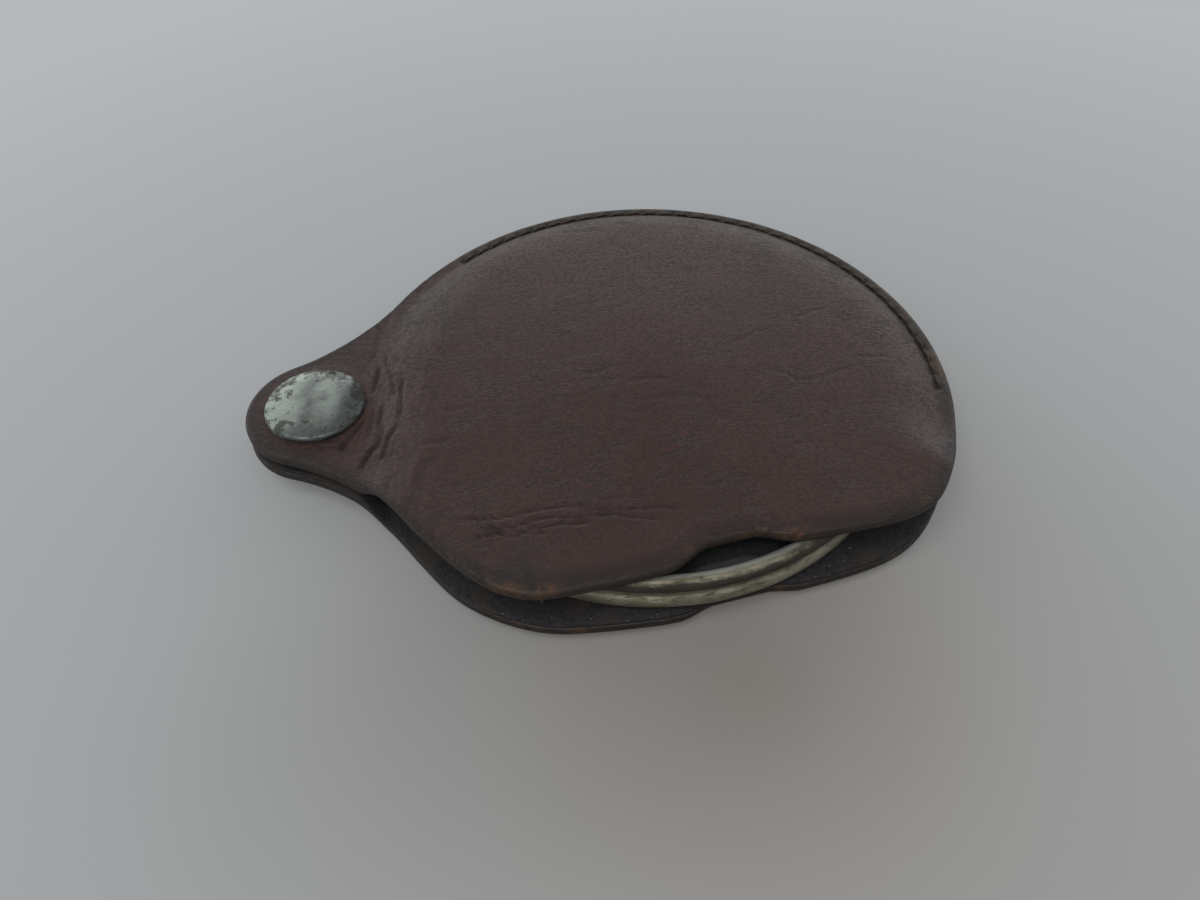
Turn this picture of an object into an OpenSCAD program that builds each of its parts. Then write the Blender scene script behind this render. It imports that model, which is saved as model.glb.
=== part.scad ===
// Pocket magnifier: a lens in a two-part metal rim that swings out of a sewn leather case on a
// double-cap rivet. The origin is on the table under the middle of the round body. +X runs from
// the rivet to the round end, +Y is the sewn side, -Y the open side with the thumb notch.

/* [Lens] */
// Diameter of the lens
lens_d = 45; // [38:0.2:52]
// Thickness of the lens at its edge
lens_edge = 0.9; // [0.6:0.05:1.4]
// Radius of curvature of both faces of the lens
lens_curve = 140; // [120:5:200]

/* [Rim] */
// Thickness of the sheet that the rim halves are pressed from
rim_sheet = 0.3; // [0.2:0.05:0.4]
// Radius of the round bead of each half, in section
bead_r = 0.72; // [0.6:0.02:0.9]
// Depth of the groove between the two beads
groove_depth = 0.5; // [0.3:0.05:0.6]
// Play of the lens inside the rim
lens_play = 0.1; // [0.05:0.05:0.2]
// Thickness of the pivot lug on each half
lug_thick = 0.3; // [0.2:0.05:0.5]
// Radius of the round end of the lug
lug_r = 4.4; // [3.6:0.1:5]
// Width of the lug where it joins the rim
lug_root = 13; // [10:0.5:16]
// Depth by which the root of the lug reaches into the rim before it is cut round
lug_depth = 2.6; // [2:0.1:3.5]

/* [Case] */
// Thickness of the leather of each leaf
leather = 1.0; // [0.7:0.05:1.4]
// Thickness of the dark lining of each leaf
lining = 0.25; // [0.15:0.05:0.4]
// Radius of the tab of the case round the rivet
tab_radius = 6.4; // [5.8:0.1:7.2]
// Width of the case beyond the rim
leaf_margin = 4.3; // [3.8:0.1:6]
// How much farther from the rivet the middle of the case is than the middle of the rim
case_lead = 1; // [0.5:0.1:2]
// Radius of the hollow curve from the tab to the round body
neck_radius = 22; // [16:1:30]
// Extra height of the crown at the middle of each leaf
crown = 0.35; // [0.1:0.05:0.8]
// How far the cut edges of the leather are rounded
edge_round = 0.45; // [0.3:0.05:0.6]

/* [Seam] */
// Width of the flat sewn border
seam_width = 1.6; // [1.4:0.1:2.6]
// Angle round the body at which the seam starts, by the shoulder
seam_start = 130; // [115:1:135]
// Angle round the body at which the seam ends, by the round end
seam_end = -12; // [-20:1:0]
// Angle over which the leaves come together at each end of the seam
seam_fade = 16; // [8:1:20]
// Distance from one stitch hole to the next
stitch_pitch = 1.8; // [1.4:0.1:2.6]
// Distance of the stitches from the edge of the case
stitch_inset = 1.2; // [1.1:0.05:1.6]
// Diameter of the sewing thread
thread_d = 0.4; // [0.3:0.05:0.5]

/* [Open side] */
// How far the straight open side of the front leaf is cut back from the round outline
front_cut = 5.4; // [3:0.1:6]
// How far the straight open side of the rear leaf is cut back
rear_cut = 3.9; // [2:0.1:5]
// Angle round the body at which the open side faces
cut_angle = -82.5; // [-90:0.5:-75]
// Sharpness of the corners of the front leaf's open side
front_corner = 32; // [16:2:50]
// Sharpness of the corners of the rear leaf's open side
rear_corner = 22; // [16:2:50]
// Angle round the body of the middle of the thumb notch
notch_angle = -84.5; // [-95:0.5:-75]
// Width of the notch
notch_width = 11.5; // [9:0.5:16]
// Width of each of the two slopes of the notch
notch_slope = 3.6; // [2:0.2:4.4]
// Depth of the notch in the front leaf
front_notch = 1.85; // [1:0.05:2.5]
// Depth of the notch in the rear leaf
rear_notch = 0.8; // [0.4:0.05:1.5]

/* [Rivet] */
// Diameter of the two caps
cap_d = 9; // [8.4:0.1:9.6]
// Height of each cap above the leather
cap_h = 0.85; // [0.75:0.05:1.2]
// Thickness of the sheet of the rivet pieces
cap_sheet = 0.25; // [0.2:0.05:0.3]
// Outer diameter of the socket tube that the lugs turn on
socket_d = 3.2; // [2.8:0.1:3.6]
// Wall of the socket tube and of the hollow post inside it
tube_wall = 0.3; // [0.2:0.05:0.35]

/* [Fits] */
// Radial running clearance of the lugs on the socket tube
pivot_fit = 0.05; // [0.02:0.01:0.1]
// Radial clearance of the post in the socket, and of the tube in the leather
tube_fit = 0.03; // [0.02:0.01:0.05]
// Clearance between the lugs and the leaves
lug_fit = 0.12; // [0.08:0.02:0.3]
// Clearance between the swinging lens or rim and the leaves
leaf_fit = 0.15; // [0.1:0.05:0.4]
// Gap between the edge of the tab and the rim
tab_fit = 0.55; // [0.4:0.05:0.9]
// Gap of a piece that rests on the next one
seat_fit = 0.01; // [0.01:0.01:0.02]
// Clearance of the thread in its holes
stitch_fit = 0.15; // [0.1:0.01:0.2]

/* [Rest position] */
// Angle by which the magnifier stands out of line with the case, towards the open side
rest_swing = 1; // [0.5:0.25:3]

/* [Hidden] */
$fn = 96;

// Lens and rim
lens_r = lens_d / 2;
lens_rise = lens_curve - sqrt(pow(lens_curve, 2) - pow(lens_r, 2));
lens_half = lens_edge / 2 + lens_rise;
groove_r = lens_r + lens_play + rim_sheet;
rim_r = groove_r + groove_depth;
bead_at = rim_r - bead_r;
lip_turn = 225;
foot_turn = 258;
lip_r = bead_at + bead_r * cos(lip_turn);
lip_lens = lens_half - lens_curve + sqrt(pow(lens_curve, 2) - pow(lip_r, 2));
bead_z = lip_lens - bead_r * sin(lip_turn) + seat_fit;
rim_half = bead_z + bead_r;

// Case outline
body_r = rim_r + leaf_margin;
arm = tab_radius + tab_fit + rim_r;
reach = arm + case_lead;
pivot = [-reach, 0];
lens_at = pivot + arm * [cos(rest_swing), -sin(rest_swing)];
seam_foot = body_r - seam_width;
to_tab = tab_radius + neck_radius;
to_body = body_r + neck_radius;
neck_x = (pow(to_tab, 2) - pow(to_body, 2) + pow(reach, 2)) / (2 * reach);
neck_y = sqrt(pow(to_tab, 2) - pow(neck_x, 2));
tab_turn = atan2(neck_y, neck_x);
body_turn = atan2(neck_y, neck_x - reach);
notch_half = asin(notch_width / 2 / (body_r - front_cut));
notch_flank = notch_slope / notch_width * 2 * notch_half;
corner_turn = 6;
cut_half = acos((body_r - front_cut) / body_r) + corner_turn;

// Heights, all measured from the middle plane of the lens
leaf = leather + lining;
lug_gap = lug_thick + lug_fit;
flat_share = 0.25;
flat_h = lens_half + leaf_fit + crown * flat_share;
mid_z = flat_h + leaf;
tab_face = lug_gap + leaf + seat_fit;
cap_margin = 0.6;
flat_r = cap_d / 2 + cap_margin;
collar_r = arm - rim_r;
tab_back = tab_radius / 4;
tab_rise = tab_radius * 0.38;
crown_r = rim_r - bead_r;

// Rivet
cap_r = cap_d / 2;
plate_r = cap_r - 2 * cap_sheet;
socket_r = socket_d / 2;
post_r = socket_r - tube_wall - tube_fit;
post_bore = post_r - tube_wall;
flare_r = socket_r + 2 * cap_sheet;
flare_h = cap_sheet * 0.6;
fold_r = 0.4;
fold_turn = 70;
dome_r = 30;
leather_bore = socket_r + tube_fit;
lug_bore = socket_r + pivot_fit;

// Stitches
stitch_r = body_r - stitch_inset;
stitch_count = floor((seam_start - seam_end) * PI / 180 * stitch_r / stitch_pitch);
stitch_step = (seam_start - seam_end) / stitch_count;
hole_r = thread_d / 2 + stitch_fit;
thread_gap = stitch_fit / 3;
dip_run = (hole_r - thread_gap) / stitch_r * 180 / PI;

// Mesh of the leaves
neck_steps = 11;
collar_steps = 3;
run_steps = neck_steps - collar_steps - 1;
run_bunching = 1.4;
body_steps = 36;
cut_steps = 24;
open_steps = 4;
tab_steps = 9;
border_share = 0.25;
inner_share = [0.06, 0.12, 0.22, 0.45, 0.75];
edge_shape = [[0, 0.35], [0, 0.6], [0.3, 0.88]];
spine_x = concat([0, flat_r / 2], steps(flat_r, collar_r, collar_steps),
    [for (i = [0 : run_steps]) collar_r + (reach - collar_r) * pow(i / run_steps, run_bunching)]);

function ease(t) = let (c = min(1, max(0, t))) c * c * (3 - 2 * c);
function steps(from, to, n) = [for (i = [0 : n - 1]) from + (to - from) * i / n];
function arc(centre, r, from, to, n) =
    [for (i = [0 : n]) let (a = from + (to - from) * i / n) centre + r * [cos(a), sin(a)]];

// Half height that the swinging magnifier needs at a distance from the pivot
function swept(rho) = leaf_fit + max(rim_half, lens_half - pow(rho - arm, 2) / (2 * lens_curve));

// 0 on the flat tab round the rivet, 1 where the leaf has risen over the rim
function collar(p) =
    ease((norm(p - pivot) - flat_r) / (collar_r - flat_r))
    * ease((p.x - pivot.x + tab_back) / tab_rise);

// 1 along the seam, fading to 0 beyond its ends
function sewn(a) = ease((seam_start + seam_fade - a) / seam_fade)
                   * ease((a - seam_end + seam_fade) / seam_fade);

// 0 on the sewn border, 1 over the rim, between them the leather drapes
function drape(p) =
    let (from_foot = seam_foot - norm(p), from_rim = norm(p - lens_at) - bead_at - leaf_fit)
    from_foot <= 0 ? 0 : from_rim <= 0 ? 1 : sin(90 * from_foot / (from_foot + from_rim));

function crowned(p) = crown * pow(max(0, 1 - pow(norm(p) / crown_r, 2)), 2);

// Half height of the space inside the case
function inside(p, top) =
    let (open = lug_gap + (swept(norm(p - pivot)) - lug_gap) * collar(p),
         closed = sewn(atan2(p.y, p.x)) * (1 - drape(p)))
    min(top, open * (1 - closed) + crowned(p));

// Radius of the body at an angle: round, cut straight on the open side, with the thumb notch
function straight(a, cut, corner) =
    let (c = cos(a - cut_angle))
    c <= 0 ? body_r : body_r * pow(1 + pow(c * body_r / (body_r - cut), corner), -1 / corner);
function notch(a) = ease((notch_half - abs(a - notch_angle)) / notch_flank);

// Each column of the mesh is a point of the outline and the point of the spine that it runs to
function body_column(a, cut, corner, depth) =
    [(straight(a, cut, corner) - depth * notch(a)) * [cos(a), sin(a)], neck_steps + 1];
function neck_column(i, side) =
    let (turn = tab_turn - 180 + (body_turn - tab_turn) * i / (neck_steps + 1))
    [pivot + [neck_x + neck_radius * cos(turn), side * (neck_y + neck_radius * sin(turn))], i];
function tab_column(a) = [pivot + tab_radius * [cos(a), sin(a)], 0];
function columns(cut, corner, depth) = concat(
    [for (a = concat(steps(-body_turn, cut_angle - cut_half, open_steps),
                     steps(cut_angle - cut_half, cut_angle + cut_half, cut_steps),
                     steps(cut_angle + cut_half, body_turn, body_steps), [body_turn]))
        body_column(a, cut, corner, depth)],
    [for (i = [neck_steps : -1 : 1]) neck_column(i, 1)],
    [for (a = concat(steps(tab_turn, 360 - tab_turn, tab_steps), [360 - tab_turn])) tab_column(a)],
    [for (i = [1 : neck_steps]) neck_column(i, -1)]);
function spine(i) = pivot + [spine_x[i], 0];

// Insets of the rings: two by distance from the edge, the rest by share of the way to the spine
function insets(length) =
    let (border = min(seam_width, length * border_share))
    concat([edge_round, border], [for (w = inner_share) border + (length - border) * w]);
function inset_point(column, d) =
    let (way = spine(column[1]) - column[0]) column[0] + way * d / norm(way);
function lift(p, z) = [p.x, p.y, z];

// A closed skin over rings of points that run round the leaf from its low face to its high one.
// Both faces are split along the same diagonals, so that the layers of a leaf fit each other.
module skin(rings, low_rings, low_spine, high_spine, stations) {
    n = len(stations);
    low = len(rings) * n;
    high = low + len(low_spine);
    points = concat([for (ring = rings) each ring], low_spine, high_spine);
    bands = [for (r = [0 : len(rings) - 2], k = [0 : n - 1])
        let (m = (k + 1) % n, a = r * n + k, b = r * n + m, c = a + n, d = b + n)
        each r < low_rings - 1 ? [[a, c, b], [b, c, d]] : [[a, c, d], [a, d, b]]];
    last = (len(rings) - 1) * n;
    caps = [for (k = [0 : n - 1]) let (m = (k + 1) % n, s = stations[k], t = stations[m])
        each concat(
            [[m, low + t, k], [last + k, high + t, last + m]],
            s == t ? [] : [[k, low + t, low + s], [last + k, high + s, high + t]])];
    polyhedron(points, concat(bands, caps), convexity = 6);
}

// Skin between two heights above the inside of the case. A leather skin has a rounded cut edge.
module leaf_skin(cut, corner, depth, top, low, high, rounded) {
    cols = columns(cut, corner, depth);
    count = len(insets(body_r));
    function row(j, z) = [for (c = cols)
        let (p = inset_point(c, insets(norm(spine(c[1]) - c[0]))[j])) lift(p, inside(p, top) + z)];
    function edge_row(d, z) = [for (c = cols)
        let (p = inset_point(c, d)) lift(p, inside(inset_point(c, edge_round), top) + z)];
    function spine_row(z) = [for (i = [0 : neck_steps + 1])
        let (p = spine(i)) lift(p, inside(p, top) + z)];
    thick = high - low;
    skin(concat([for (j = [count - 1 : -1 : 0]) row(j, low)],
                [for (e = rounded ? edge_shape : []) edge_row(edge_round * e[0], low + thick * e[1])],
                [for (j = [0 : count - 1]) row(j, high)]),
         count, spine_row(low), spine_row(high), [for (c = cols) c[1]]);
}

module leaf_holes() {
    translate([pivot.x, pivot.y, -1]) cylinder(r = leather_bore, h = tab_face + 2, $fn = 48);
    for (i = [0 : stitch_count])
        rotate(seam_end + stitch_step * i)
            translate([stitch_r, 0, -1]) cylinder(r = hole_r, h = leaf + 2, $fn = 16);
}

module leather_leaf(cut, corner, depth, top) {
    difference() {
        leaf_skin(cut, corner, depth, top, lining, leaf, true);
        leaf_holes();
    }
}

module lining_leaf(cut, corner, depth, top) {
    difference() {
        leaf_skin(cut, corner, depth, top, 0, lining, false);
        leaf_holes();
    }
}

// One row of lockstitches: a thread that lies on the border and dips into each hole
module stitches() {
    on_top = leaf + thread_d / 2 + seat_fit;
    in_hole = thread_d / 2 + thread_gap;
    sides = 6;
    stops = [for (i = [0 : stitch_count]) each let (a = seam_end + stitch_step * i)
        concat(i == 0 ? [] : [[a - dip_run, on_top]], [[a, in_hole]],
               i == stitch_count ? [] : [[a + dip_run, on_top]])];
    points = [for (s = stops, k = [0 : sides - 1]) let (t = 360 * k / sides,
        r = stitch_r + thread_d / 2 * sin(t))
        [r * cos(s[0]), r * sin(s[0]), s[1] + thread_d / 2 * cos(t)]];
    last = (len(stops) - 1) * sides;
    polyhedron(points, concat(
        [for (i = [0 : len(stops) - 2], k = [0 : sides - 1])
            let (a = i * sides + k, b = i * sides + (k + 1) % sides)
            each [[a, b + sides, b], [a, a + sides, b + sides]]],
        [for (k = [1 : sides - 2]) each [[0, k, k + 1], [last, last + k + 1, last + k]]]),
        convexity = 10);
}

module at_front() { translate([0, 0, mid_z]) children(); }
module at_rear() { translate([0, 0, mid_z]) mirror([0, 0, 1]) children(); }

module front_leather() {
    color("#4b3432") at_front()
        leather_leaf(front_cut, front_corner, front_notch, flat_h + crown);
}
module front_lining() {
    color("#1f2328") at_front()
        lining_leaf(front_cut, front_corner, front_notch, flat_h + crown);
}
module rear_leather() {
    color("#4b3432") at_rear() leather_leaf(rear_cut, rear_corner, rear_notch, flat_h);
}
module rear_lining() {
    color("#1f2328") at_rear() lining_leaf(rear_cut, rear_corner, rear_notch, flat_h);
}
module needle_thread() { color("#3a2c1c") at_front() stitches(); }
module bobbin_thread() { color("#3a2c1c") at_rear() stitches(); }

// The magnifier is drawn about the middle of its lens, with its lugs towards -X
module in_magnifier() {
    translate([pivot.x, pivot.y, mid_z]) rotate(-rest_swing) translate([arm, 0, 0]) children();
}

module lens() {
    color("lightcyan", 0.5) in_magnifier() intersection() {
        translate([0, 0, lens_half - lens_curve]) sphere(r = lens_curve, $fn = 360);
        translate([0, 0, lens_curve - lens_half]) sphere(r = lens_curve, $fn = 360);
        cylinder(r = lens_r, h = 3 * lens_half, center = true, $fn = 180);
    }
}

module rim_section() {
    translate([bead_at, bead_z]) difference() {
        circle(r = bead_r, $fn = 48);
        circle(r = bead_r - rim_sheet, $fn = 48);
        polygon([[0, 0], 2 * bead_r * [cos(lip_turn), sin(lip_turn)],
                 2 * bead_r * [cos(foot_turn), sin(foot_turn)]]);
    }
    translate([groove_r - rim_sheet, 0]) square([rim_sheet, bead_z - bead_r + rim_sheet / 2]);
}

// Flat lug with the pivot bore, from the groove of the rim out round the rivet
module lug() {
    linear_extrude(height = lug_thick) difference() {
        union() {
            translate([-arm, 0]) circle(r = lug_r);
            polygon([[-arm, -lug_r], [-rim_r, -lug_root / 2], [-rim_r + lug_depth, -lug_root / 2],
                     [-rim_r + lug_depth, lug_root / 2], [-rim_r, lug_root / 2], [-arm, lug_r]]);
        }
        translate([-arm, 0]) circle(r = lug_bore);
        circle(r = groove_r - rim_sheet / 2, $fn = 180);
    }
}

module half_rim() {
    rotate_extrude($fn = 180) rim_section();
    lug();
}

module front_rim() { color("#b9bcae") in_magnifier() half_rim(); }
module rear_rim() { color("#b9bcae") in_magnifier() mirror([0, 0, 1]) half_rim(); }

// Shallow cap whose side wall stands on the leather round the plate below it
module rivet_cap() {
    seat = cap_sheet + seat_fit;
    dome_turn = asin((cap_r - fold_r) / dome_r);
    drop = dome_r * (1 - cos(dome_turn));
    rotate_extrude($fn = 96) polygon(concat(
        [[0, cap_h - cap_sheet], [0, cap_h]],
        arc([0, cap_h - dome_r], dome_r, 90 - dome_turn / 3, 90 - dome_turn, 5),
        arc([cap_r - fold_r, cap_h - drop - fold_r], fold_r, fold_turn, 0, 5),
        [[cap_r, 0], [plate_r + tube_fit, 0], [plate_r + tube_fit, seat], [plate_r - fold_r, seat],
         [plate_r - 2 * fold_r, cap_h - cap_sheet - drop / 2]]));
}

// Round plate on the leather with a tube through the case
module rivet_tube(outer, bore, length) {
    rotate_extrude($fn = 64) polygon([
        [bore, -length], [outer, -length], [outer, 0], [plate_r, 0], [plate_r, cap_sheet],
        [bore, cap_sheet]]);
}

module at_front_face() { translate([pivot.x, pivot.y, mid_z + tab_face]) children(); }
module at_rear_face() {
    translate([pivot.x, pivot.y, mid_z - tab_face]) mirror([0, 0, 1]) children();
}

module rivet_front_cap() { color("#b4bab2") at_front_face() rivet_cap(); }
module rivet_rear_cap() { color("#b4bab2") at_rear_face() rivet_cap(); }

module rivet_socket() {
    color("#8f938c") at_front_face()
        rivet_tube(socket_r, socket_r - tube_wall, 2 * tab_face - seat_fit);
}

// The post passes through the socket and is flared over its plate under the front cap
module rivet_post() {
    flare = -2 * tab_face - cap_sheet - seat_fit;
    color("#8f938c") at_rear_face() rotate_extrude($fn = 64) polygon([
        [post_bore, cap_sheet], [plate_r, cap_sheet], [plate_r, 0], [post_r, 0], [post_r, flare],
        [flare_r, flare], [flare_r, flare - flare_h], [post_bore, flare - flare_h]]);
}

front_leather();
front_lining();
rear_leather();
rear_lining();
needle_thread();
bobbin_thread();
lens();
front_rim();
rear_rim();
rivet_front_cap();
rivet_socket();
rivet_rear_cap();
rivet_post();
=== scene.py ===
import math

import bpy
import numpy as np
from mathutils import Matrix, Vector, noise


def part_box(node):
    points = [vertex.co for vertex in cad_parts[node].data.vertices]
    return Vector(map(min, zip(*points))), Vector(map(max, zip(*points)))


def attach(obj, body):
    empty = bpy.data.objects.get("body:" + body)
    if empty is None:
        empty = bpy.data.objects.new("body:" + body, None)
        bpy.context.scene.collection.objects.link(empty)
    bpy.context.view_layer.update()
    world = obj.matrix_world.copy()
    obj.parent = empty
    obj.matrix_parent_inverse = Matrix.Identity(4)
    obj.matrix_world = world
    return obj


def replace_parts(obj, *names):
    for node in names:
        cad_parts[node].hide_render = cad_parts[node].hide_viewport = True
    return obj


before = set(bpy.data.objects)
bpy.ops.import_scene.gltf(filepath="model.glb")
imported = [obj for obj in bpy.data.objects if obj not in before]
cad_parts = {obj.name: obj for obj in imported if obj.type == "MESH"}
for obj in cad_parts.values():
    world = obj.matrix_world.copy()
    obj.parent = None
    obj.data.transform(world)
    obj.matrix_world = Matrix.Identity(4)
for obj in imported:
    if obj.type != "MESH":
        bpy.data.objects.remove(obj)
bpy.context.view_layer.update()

# Lengths are millimetres in the frame of the model, and become metres where a mesh is filled.
# The floor, the lamp and the camera's clipping are in metres
MM = 0.001


def mm_box(node):
    """Low and high corners of a node's box."""
    low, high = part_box(node)
    return np.array(low) / MM, np.array(high) / MM


# Sizes read from the frame
lens_low, lens_high = mm_box("lens")
rim_high = mm_box("front_rim")[1]
cap_low, cap_high = mm_box("rivet_front_cap")
case_low, case_high = mm_box("rear_leather")
MID_Z = (lens_low[2] + lens_high[2]) / 2
LENS_AT = (lens_low[:2] + lens_high[:2]) / 2
LENS_HALF = (lens_high[2] - lens_low[2]) / 2
RIM_HALF = rim_high[2] - MID_Z
RIM_R = rim_high[0] - LENS_AT[0]
PIVOT = (cap_low[:2] + cap_high[:2]) / 2
CAP_R = (cap_high[0] - cap_low[0]) / 2
BODY_R = case_high[0]
TAB_R = PIVOT[0] - case_low[0]

# Thicknesses
LEATHER = 1.0
LINING = 0.25
LEAF = LEATHER + LINING

# Shape of the case, which is round about the origin. LUG_GAP is half the room inside the tab, and
# LEAF_FIT the room between the rim and a lining
NECK_R = 22.0
RIVET_BORE = 1.63
LENS_CURVE = 140.0
BEAD_R = 0.72
BEAD_AT = RIM_R - BEAD_R
LUG_GAP = 0.42
LEAF_FIT = 0.15

# Drape of the leaves: each step up from the tab to the rim as (radius round the lens, run).
# THINNING is how far a leaf may be pressed thinner over the rim, and BLEND softens where it starts
INNER_STEP = (25.35, 2.7)
OUTER_STEP = (26.2, 6.5)
STEP_BOW = 0.03
CROWN = 0.35
INNER_SWELL = 2.2
OUTER_SWELL = 4.2
OUTER_CIRCLE = 14.0
THINNING = 0.7
BLEND = 0.08
PINCH = 0.1
PINCH_RUN = 1.5
PINCH_STEP = (26.5, 2.7)

# Seam, with its angles and fades in degrees round the origin
SEAM_WIDTH = 1.6
SEAM_START = 130.0
SEAM_END = -12.0
NECK_FADE = 34.0
END_HOLD = 7.0
END_FADE = 18.0
STITCHES = 36
STITCH_STEP = (SEAM_START - SEAM_END) / STITCHES
STITCH_R = BODY_R - 1.2

# Thread of the seam. It lies a little sunk, dips sharply at each hole and strays within a stitch
# and along the seam. Its radius is a core and a ridge, which takes PLY_TWIST half turns a stitch,
# and grows from THREAD_TIP to full over the first and last rings
THREAD_R = 0.17
THREAD_SUNK = 0.1 * THREAD_R
THREAD_DIP = 0.6
DIP_SHARPNESS = 12
STITCH_STRAY = 0.05
SEAM_STRAY = 0.03
PLY_CORE = 0.86
PLY_RIDGE = 0.16
PLY_TWIST = 2.6
THREAD_TIP = 0.2
TIP_RINGS = 3
PER_STITCH = 14
THREAD_SIDES = 10

# Open side of a leaf: how far it is cut back, how square its corners are, the thumb notch as
# (depth, angle, half width, flank), and where the cut swells out as (angle, half width, height).
# A height below 0 draws it in
CUT_ANGLE = -82.5
FRONT = (5.4, 32, (1.35, -83.6, 14.2, 9.3), [(-127, 16, 0.45), (-105, 12, 0.15), (-52, 20, 0.6)])
REAR = (3.9, 22, (0.6, -82.5, 13.0, 7.5), [(-134, 12, 0.32), (-112, 15, -0.45), (-95, 8, 0.12)])


def clean_start():
    """Deselects everything, so that an operator acts on the new piece alone."""
    if bpy.context.object and bpy.context.object.mode != "OBJECT":
        bpy.ops.object.mode_set(mode="OBJECT")
    bpy.ops.object.select_all(action="DESELECT")


def finish_piece(piece, name, material, body):
    """Names a piece, gives it its finish and its body."""
    piece.name = piece.data.name = name
    piece.data.materials.clear()
    piece.data.materials.append(material)
    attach(piece, body)
    return piece


# Shape of the leaves

def ease(t):
    """From 0 to 1 as t does, softly at both ends."""
    t = np.clip(t, 0, 1)
    return t * t * (3 - 2 * t)


def body_radius(angle, outline):
    """Radius of the body at an angle: round, but cut nearly straight on the open side."""
    cut, corner, (depth, middle, half, flank), swells = outline
    toward = np.cos(np.radians(angle - CUT_ANGLE))
    drawn = np.clip(toward * BODY_R / (BODY_R - cut), 0, 3)
    radius = BODY_R * (1 + drawn ** corner) ** (-1 / corner)
    radius = radius - depth * ease((half - np.abs(angle - middle)) / flank)
    for place, width, swell in swells:
        radius = radius + swell * ease(1 - np.abs(angle - place) / width)
    return radius


# Neck: arcs that touch the tab's circle and the body's. Place of their middle, and where they touch
REACH = -PIVOT[0]
NECK_X = ((TAB_R + NECK_R) ** 2 - (BODY_R + NECK_R) ** 2 + REACH ** 2) / (2 * REACH)
NECK_Y = math.sqrt((TAB_R + NECK_R) ** 2 - NECK_X ** 2)
TAB_TURN = math.degrees(math.atan2(NECK_Y, NECK_X))
BODY_TURN = math.degrees(math.atan2(NECK_Y, NECK_X - REACH))

# Columns of the mesh of a leaf on one side: all of them, and those round the tab and at the bore.
# The others run in to the spine, a line along the middle as far as SPINE_END. There a share of
# their spacing is even, and the rest gathers them towards the round end
SIDE_COLUMNS = 330
TAB_COLUMNS = 36
RING_COLUMNS = 34
SPINE_END = 15.0
SPINE_EVEN = 0.35
SPINE_GATHER = 1.2
NECK_POINTS = 400
BODY_POINTS = 3000


def side_outline(side, outline):
    """Points of one side of a leaf's outline, from behind the rivet to the round end."""
    tab = np.radians(np.linspace(180, TAB_TURN, TAB_COLUMNS + 1))
    points = [PIVOT + TAB_R * np.array([math.cos(a), side * math.sin(a)]) for a in tab]
    turn = np.radians(np.linspace(TAB_TURN - 180, BODY_TURN - 180, NECK_POINTS))
    neck = np.stack([PIVOT[0] + NECK_X + NECK_R * np.cos(turn),
                     side * (NECK_Y + NECK_R * np.sin(turn))], 1)
    angle = side * np.linspace(BODY_TURN, 0, BODY_POINTS)
    radius = body_radius(angle, outline)
    body = np.stack([radius * np.cos(np.radians(angle)), radius * np.sin(np.radians(angle))], 1)
    rest = np.concatenate([neck, body[1:]])
    run = np.concatenate([[0], np.cumsum(np.hypot(*np.diff(rest, axis=0).T))])
    wanted = np.linspace(0, run[-1], SIDE_COLUMNS - TAB_COLUMNS + 1)[1:]
    rest = np.stack([np.interp(wanted, run, rest[:, i]) for i in (0, 1)], 1)
    return np.concatenate([np.array(points), rest])


def side_inner(side):
    """Points that the columns of one side run to: round the rivet's bore, then along the middle."""
    ring = np.radians(np.concatenate([
        np.linspace(180, TAB_TURN, TAB_COLUMNS + 1),
        np.linspace(TAB_TURN, 0, RING_COLUMNS + 1)[1:]]))
    round_bore = np.stack([PIVOT[0] + RIVET_BORE * np.cos(ring),
                           side * RIVET_BORE * np.sin(ring)], 1)
    left = SIDE_COLUMNS - TAB_COLUMNS - RING_COLUMNS
    share = np.arange(1, left + 1) / left
    start = PIVOT[0] + RIVET_BORE
    gathered = np.sin(share * math.pi / 2) ** SPINE_GATHER
    along = start + (SPINE_END - start) * (SPINE_EVEN * share + (1 - SPINE_EVEN) * gathered)
    return np.concatenate([round_bore, np.stack([along, 0 * along], 1)])


def around(far, near):
    """A row of points right round a leaf: out along the far side and back along the near side."""
    return np.concatenate([far, near[-2::-1]])


def over_lens(p):
    """Half height that clears the rim and the swell of the lens."""
    out = np.hypot(*(p - LENS_AT).T)
    return LEAF_FIT + np.maximum(RIM_HALF, LENS_HALF - out ** 2 / (2 * LENS_CURVE))


def collar(p, start, run):
    """0 on the flat tab round the rivet, 1 over the rim. The step bows back on the near side."""
    bow = STEP_BOW * np.minimum(p[:, 1], 0) ** 2
    return ease((start + bow - np.hypot(*(p - LENS_AT).T)) / run)


def sewn(p, neck_fade=NECK_FADE, end_hold=END_HOLD, end_fade=END_FADE):
    """1 along the seam, fading out beyond both ends, the more slowly towards the tab."""
    angle = np.degrees(np.arctan2(p[:, 1], p[:, 0]))
    return (ease((SEAM_START + neck_fade - angle) / neck_fade)
            * ease((angle - SEAM_END + end_hold + end_fade) / end_fade))


def drape(p, circle, swell):
    """0 on the sewn border and 1 inside a circle round the lens. A greater swell rises sooner."""
    from_foot = np.clip(BODY_R - SEAM_WIDTH - np.hypot(*p.T), 0, None)
    from_circle = np.clip(np.hypot(*(p - LENS_AT).T) - circle, 1e-6, None)
    return 1 - (1 - from_foot / (from_foot + from_circle)) ** swell


def crown(p):
    """Height by which the front leaf stands up in its middle."""
    return CROWN * np.clip(1 - (np.hypot(*p.T) / BEAD_AT) ** 2, 0, None) ** 2


def pinched(p):
    """How far each leaf comes in round the edge of the tab, which still leaves room for the lug."""
    from_pivot = np.hypot(*(p - PIVOT).T)
    return PINCH * ease((from_pivot - CAP_R) / PINCH_RUN) * (1 - collar(p, *PINCH_STEP))


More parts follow.
